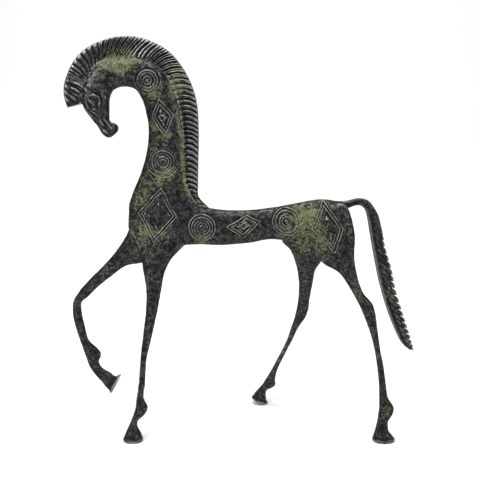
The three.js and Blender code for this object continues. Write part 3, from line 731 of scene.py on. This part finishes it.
def tail():
    """A quill along the front edge, and barbs that slant back from it and end in points."""
    first, last = TAIL[0][0], TAIL[-1][0]
    bare = np.arange(first, 0, 0.12)
    barbed = (np.arange(0, int(last))[:, None] + np.array(TAIL_ROWS)[None, :]).ravel()
    base = np.concatenate([bare, barbed, np.linspace(int(last), last, 5)])
    place, s = np.meshgrid(base, np.array(TAIL_COLUMNS), indexing="ij")
    fade = smoothstep(-0.5, 2, place) * (1 - smoothstep(last - 0.35, last, place))
    # The grooves leave the quill steeply and flatten towards the notches.
    curved = np.clip(place - 0.55 * fade * np.clip(1 - (s - 0.2) / 0.8, 0, 1) ** 2, first, last)
    keys = between(TAIL, curved.ravel()).reshape(*curved.shape, 4)
    ax, az, bx, bz = np.moveaxis(keys, -1, 0)
    length = np.hypot(bx - ax, bz - az)
    u = place - np.floor(place + 1e-6)
    gap = np.minimum(u, 1 - u) * np.interp(place, (0, 19), (6.4, 5))
    half = np.interp(place, (first, last), (TAIL_ROOT_HALF, TAIL_TIP_HALF))
    # Thickness across the tail: a round quill, a groove behind it, then barbs that thin towards their tips.
    quill = np.sqrt(np.clip(1 - (np.clip(0.13 - s, 0, 1) / 0.13) ** 2, 0, 1))
    plain = np.sqrt(np.clip(1 - (np.clip(s - 0.5, 0, 1) / 0.5) ** 2.6, 0, 1))
    barbs = 1 - 0.42 * smoothstep(0.3, 0.95, s)
    body = quill * (plain * (1 - fade) + barbs * fade)
    groove = fade * (0.75 * bell((s - 0.3) * length, 0.55) + 0.9 * smoothstep(0.26, 0.42, s) * bell(gap, 0.6))
    swell = fade * 0.25 * smoothstep(0.35, 0.5, s) * np.sin(math.pi * np.clip(u, 0, 1)) * bell(s - 0.65, 0.35)
    thick = np.maximum(half * body * np.interp(s, (0, 1), (1, 0.92)) - groove + swell, 0.22 + 0.3 * (1 - s))
    depth = np.interp(place, (0, 1.5, 7, 9, 19), (0.6, 1.7, 1.9, 2.9, 2.6))
    notch = np.where(u < 0.5, 1 - smoothstep(0, 0.2, u), smoothstep(0.84, 1, u))
    notch = notch + 0.12 * (1 - np.sin(math.pi * np.clip(u * 0.9 + 0.1, 0, 1)))
    inset = fade * notch * depth / length
    out = s - inset * smoothstep(0.45, 1, s)
    x, z = ax + (bx - ax) * out, az + (bz - az) * out
    near = np.stack([x, -thick, z], -1)
    far = np.stack([x, thick, z], -1)[:, ::-1]
    reach = 1 - inset[:, -1]
    tip = np.stack([ax[:, -1] + (bx - ax)[:, -1] * reach, 0 * reach, az[:, -1] + (bz - az)[:, -1] * reach], -1)
    front = np.stack([ax[:, 0], 0 * ax[:, 0], az[:, 0]], -1)
    return to_object("tail", *tube(np.concatenate([front[:, None], near, tip[:, None], far], 1)))


def fused(body, *others):
    for other in others:
        join = body.modifiers.new(other.name, "BOOLEAN")
        join.operation = "UNION"
        join.solver = "MANIFOLD"
        join.object = other
    applied(body)
    for other in others:
        bpy.data.objects.remove(other)
    return body


def largest_shell(obj):
    """Keeps the outer skin alone, without any small bubble shut in between the forms."""
    form = bmesh.new()
    form.from_mesh(obj.data)
    left = set(form.verts)
    shells = []
    while left:
        start = left.pop()
        shell, queue = {start}, [start]
        while queue:
            for edge in queue.pop().link_edges:
                for vert in edge.verts:
                    if vert in left:
                        left.discard(vert)
                        shell.add(vert)
                        queue.append(vert)
        shells.append(shell)
    shells.sort(key=len)
    for shell in shells[:-1]:
        bmesh.ops.delete(form, geom=list(shell), context="VERTS")
    bmesh.ops.triangulate(form, faces=form.faces)
    form.to_mesh(obj.data)
    form.free()
    return obj


def thinned(obj):
    """Drops the faces that matter least, where there are too many."""
    count = len(obj.data.polygons)
    if count > MOST_FACES:
        fewer = obj.modifiers.new("fewer", "DECIMATE")
        fewer.ratio = MOST_FACES / count
        applied(obj)
    return obj


def add_attribute(mesh, name, values):
    mesh.attributes.new(name, "FLOAT", "POINT").data.foreach_set("value", values.astype(np.float32))


def dress(obj):
    """Notes on each point, for the material: how deep it lies, and how much verdigris is round it."""
    mesh = obj.data
    points, edges, normal = positions(mesh), edges_of(mesh), normals(mesh)
    soft = points
    for _ in range(14):
        soft = soft + 0.6 * (mean_of_neighbours(soft, edges) - soft)
    depth = np.sum((points - soft) * normal, 1, keepdims=True)
    level = depth
    for _ in range(30):
        level = mean_of_neighbours(level, edges)
    depth = depth - level
    add_attribute(mesh, "relief", np.clip(0.5 + depth[:, 0] / 1.0, 0, 1))
    green = np.full(len(points), 0.3)
    for x, z, radius, strength in PATINA:
        green = green + strength * bell(np.hypot(points[:, 0] - x, points[:, 2] - z), radius)
    for run in PATINA_LINES:
        green = green + stroke_height(points[:, 0], points[:, 2], 1.5, 1.1, run)
    add_attribute(mesh, "patina", np.clip(green, 0, 1.2))
    thinned(obj)
    mesh = obj.data
    move_to(mesh, (positions(mesh) - np.array(MIDDLE)) * MM)
    mesh.shade_smooth()
    mesh.set_sharp_from_angle(angle=math.radians(58))


class Nodes:
    """Short calls for the nodes of one material."""

    def __init__(self, name):
        self.material = bpy.data.materials.new(name)
        self.material.use_nodes = True
        self.tree = self.material.node_tree
        self.shader = self.tree.nodes["Principled BSDF"]

    def add(self, kind, **settings):
        node = self.tree.nodes.new("ShaderNode" + kind)
        for key, value in settings.items():
            setattr(node, key, value)
        return node

    def feed(self, socket, value):
        if isinstance(value, bpy.types.NodeSocket):
            self.tree.links.new(value, socket)
        else:
            socket.default_value = value

    def attribute(self, name):
        return self.add("Attribute", attribute_name=name).outputs["Fac"]

    def place(self, scale):
        """Object coordinates in units of 1 / scale metres."""
        node = self.add("Mapping")
        self.feed(node.inputs["Vector"], self.add("TexCoord").outputs["Object"])
        node.inputs["Scale"].default_value = scale if isinstance(scale, tuple) else (scale, scale, scale)
        return node.outputs["Vector"]

    def noise(self, size_mm, detail=3.0, roughness=0.55, distortion=0.0):
        node = self.add("TexNoise")
        self.feed(node.inputs["Vector"], self.place(1000 / size_mm))
        settings = {"Scale": 1.0, "Detail": detail, "Roughness": roughness, "Distortion": distortion}
        for key, value in settings.items():
            node.inputs[key].default_value = value
        return node.outputs["Fac"]

    def ramp(self, value, low, high, to_low=0.0, to_high=1.0):
        node = self.add("MapRange", interpolation_type="SMOOTHSTEP")
        self.feed(node.inputs["Value"], value)
        for key, number in (("From Min", low), ("From Max", high), ("To Min", to_low), ("To Max", to_high)):
            node.inputs[key].default_value = number
        return node.outputs["Result"]

    def math(self, operation, a, b=0.0):
        node = self.add("Math", operation=operation)
        self.feed(node.inputs[0], a)
        self.feed(node.inputs[1], b)
        return node.outputs[0]

    def mix(self, share, a, b):
        node = self.add("Mix", data_type="RGBA")
        self.feed(node.inputs[0], share)
        self.feed(node.inputs[6], a)
        self.feed(node.inputs[7], b)
        return node.outputs[2]

    def blend(self, share, a, b):
        node = self.add("Mix", data_type="FLOAT")
        self.feed(node.inputs[0], share)
        self.feed(node.inputs[2], a)
        self.feed(node.inputs[3], b)
        return node.outputs[0]

    def bump(self, height, strength, distance_mm, before=None):
        node = self.add("Bump")
        node.inputs["Strength"].default_value = strength
        node.inputs["Distance"].default_value = distance_mm * MM
        self.feed(node.inputs["Height"], height)
        if before is not None:
            self.feed(node.inputs["Normal"], before)
        return node.outputs["Normal"]


BLACK_BRONZE = (0.010, 0.010, 0.011, 1)
GREY_BRONZE = (0.055, 0.055, 0.052, 1)
LILAC_BRONZE = (0.062, 0.056, 0.070, 1)
# Rubbed bronze, used also as a painted highlight on the ridges.
RUBBED_AND_HIGHLIT_BRONZE = (0.27, 0.265, 0.25, 1)
# Near black for the painted shade at the bottoms of the deepest grooves.
GROOVE_SHADE_BLACK = (0.004, 0.004, 0.004, 1)
VERDIGRIS = (0.058, 0.062, 0.026, 1)
PALE_VERDIGRIS = (0.24, 0.25, 0.12, 1)


def bronze():
    n = Nodes("patinated_bronze")
    relief, patina = n.attribute("relief"), n.attribute("patina")
    broad, middle, fine = n.noise(12, 3, 0.55), n.noise(3.4, 4, 0.6, 0.3), n.noise(1.6, 4, 0.65)
    grain = n.noise(0.9, 3, 0.7)
    # A grey skin, lilac here and there, broken up by black.
    skin = n.mix(n.ramp(broad, 0.48, 0.64), GREY_BRONZE, LILAC_BRONZE)
    black = n.ramp(n.math("ADD", n.math("MULTIPLY", fine, 0.6), n.math("MULTIPLY", middle, 0.4)), 0.43, 0.60)
    colour = n.mix(black, BLACK_BRONZE, skin)
    # Rubbed ridges, whose lighter colour is also a painted highlight along every ridge, and a scatter of bare
    # specks.
    specks = n.ramp(grain, 0.60, 0.70)
    rubbed_and_highlit = n.ramp(n.math("ADD", relief, n.math("MULTIPLY", n.math("SUBTRACT", grain, 0.5), 0.8)), 0.58, 0.86)
    bare = n.math("MAXIMUM", n.math("MULTIPLY", specks, 0.4), n.math("MULTIPLY", rubbed_and_highlit, 0.75))
    colour = n.mix(bare, colour, RUBBED_AND_HIGHLIT_BRONZE)
    # Verdigris keeps to the grooves and to patches round them.
    hollow = n.ramp(relief, 0.34, 0.56, 1, 0)
    mottle = n.math("ADD", n.math("MULTIPLY", middle, 0.5), n.math("MULTIPLY", fine, 0.5))
    patches = n.ramp(n.math("ADD", mottle, n.math("MULTIPLY", patina, 0.2)), 0.60, 0.76)
    green = n.math("MULTIPLY", patches, n.math("ADD", 0.6, n.math("MULTIPLY", hollow, 0.4)))
    bright = n.ramp(n.math("ADD", grain, n.math("MULTIPLY", n.math("SUBTRACT", patina, 0.7), 0.16)), 0.44, 0.66)
    colour = n.mix(n.math("MULTIPLY", green, 0.8), colour, n.mix(bright, VERDIGRIS, PALE_VERDIGRIS))
    # Painted shade: the bottoms of the deepest grooves are darkened to near black, where shade falls.
    painted_groove_shade = n.math("MULTIPLY", n.ramp(relief, 0.16, 0.42, 1, 0), n.ramp(green, 0.2, 0.9, 1, 0.5))
    colour = n.mix(n.math("MULTIPLY", painted_groove_shade, 0.9), colour, GROOVE_SHADE_BLACK)
    n.feed(n.shader.inputs["Base Color"], colour)
    dull = n.math("MAXIMUM", green, painted_groove_shade)
    n.feed(n.shader.inputs["Metallic"], n.blend(dull, 0.85, 0.15))
    n.feed(n.shader.inputs["Roughness"], n.blend(dull, n.ramp(fine, 0.35, 0.65, 0.48, 0.3), 0.75))
    n.shader.inputs["Specular IOR Level"].default_value = 0.3
    n.shader.inputs["Specular Tint"].default_value = (0.55, 0.55, 0.56, 1)
    pitted = n.bump(middle, 0.8, 0.5)
    pitted = n.bump(fine, 0.9, 0.35, pitted)
    n.feed(n.shader.inputs["Normal"], n.bump(grain, 0.5, 0.12, pitted))
    return n.material


def pale(name, value):
    n = Nodes(name)
    n.shader.inputs["Base Color"].default_value = (value, value, value, 1)
    n.shader.inputs["Roughness"].default_value = 0.9
    n.shader.inputs["Specular IOR Level"].default_value = 0.1
    return n.material


def stage():
    """A pale floor that sweeps up behind the horse."""
    profile = [(-2.2, 0), (1.6, 0)]
    profile += [(1.6 + 1.2 * math.sin(a), 1.2 - 1.2 * math.cos(a)) for a in np.linspace(0.1, math.pi / 2, 16)]
    profile.append((2.8, 3.2))
    points = [(x, y, z) for y, z in profile for x in (-3.2, 3.2)]
    faces = [(2 * k, 2 * k + 1, 2 * k + 3, 2 * k + 2) for k in range(len(profile) - 1)]
    mesh = bpy.data.meshes.new("floor")
    mesh.from_pydata(points, [], faces)
    mesh.shade_smooth()
    floor = bpy.data.objects.new("floor", mesh)
    floor.data.materials.append(pale("paper", 0.72))
    bpy.context.scene.collection.objects.link(floor)


def light(name, place, target, size, power):
    lamp = bpy.data.lights.new(name, "AREA")
    lamp.shape = "RECTANGLE"
    lamp.size, lamp.size_y = size
    lamp.energy = power
    obj = bpy.data.objects.new(name, lamp)
    obj.location = place
    obj.rotation_euler = (Vector(target) - Vector(place)).to_track_quat("-Z", "Y").to_euler()
    bpy.context.scene.collection.objects.link(obj)


def studio():
    world = bpy.data.worlds.new("studio")
    world.use_nodes = True
    world.node_tree.nodes["Background"].inputs["Color"].default_value = (1, 1, 1, 1)
    world.node_tree.nodes["Background"].inputs["Strength"].default_value = 0.25
    bpy.context.scene.world = world
    light("top_box", (-0.1, -0.12, 1.0), (0, 0, 0.15), (0.8, 0.5), 11)
    light("front_left_box", (-0.7, -0.8, 0.85), (0, 0, 0.15), (0.35, 0.35), 11)
    light("right_box", (0.95, -0.5, 0.6), (0, 0, 0.15), (0.25, 0.6), 5)
    light("backdrop_box", (0, 1.0, 1.9), (0, 2.4, 0.7), (3.0, 0.8), 60)
    view = bpy.context.scene.view_settings
    view.view_transform = "Standard"
    view.look = "None"


def camera():
    """Just left of the horse, level with its neck and looking a little down."""
    lens = bpy.data.cameras.new("camera")
    lens.sensor_width = 36
    lens.lens = 56.39
    obj = bpy.data.objects.new("camera", lens)
    obj.location = (-MIDDLE[0] * MM, (-520 - MIDDLE[1]) * MM, 248 * MM)
    obj.rotation_euler = (math.radians(90 - 11.674), 0, 0)
    bpy.context.scene.collection.objects.link(obj)
    bpy.context.scene.camera = obj


camera()
studio()
stage()
horse = largest_shell(fused(carve(solid_body()), mane(), tail()))
horse.name = "horse_casting"
dress(horse)
horse.data.materials.clear()
horse.data.materials.append(bronze())
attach(horse, "root")
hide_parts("horse")
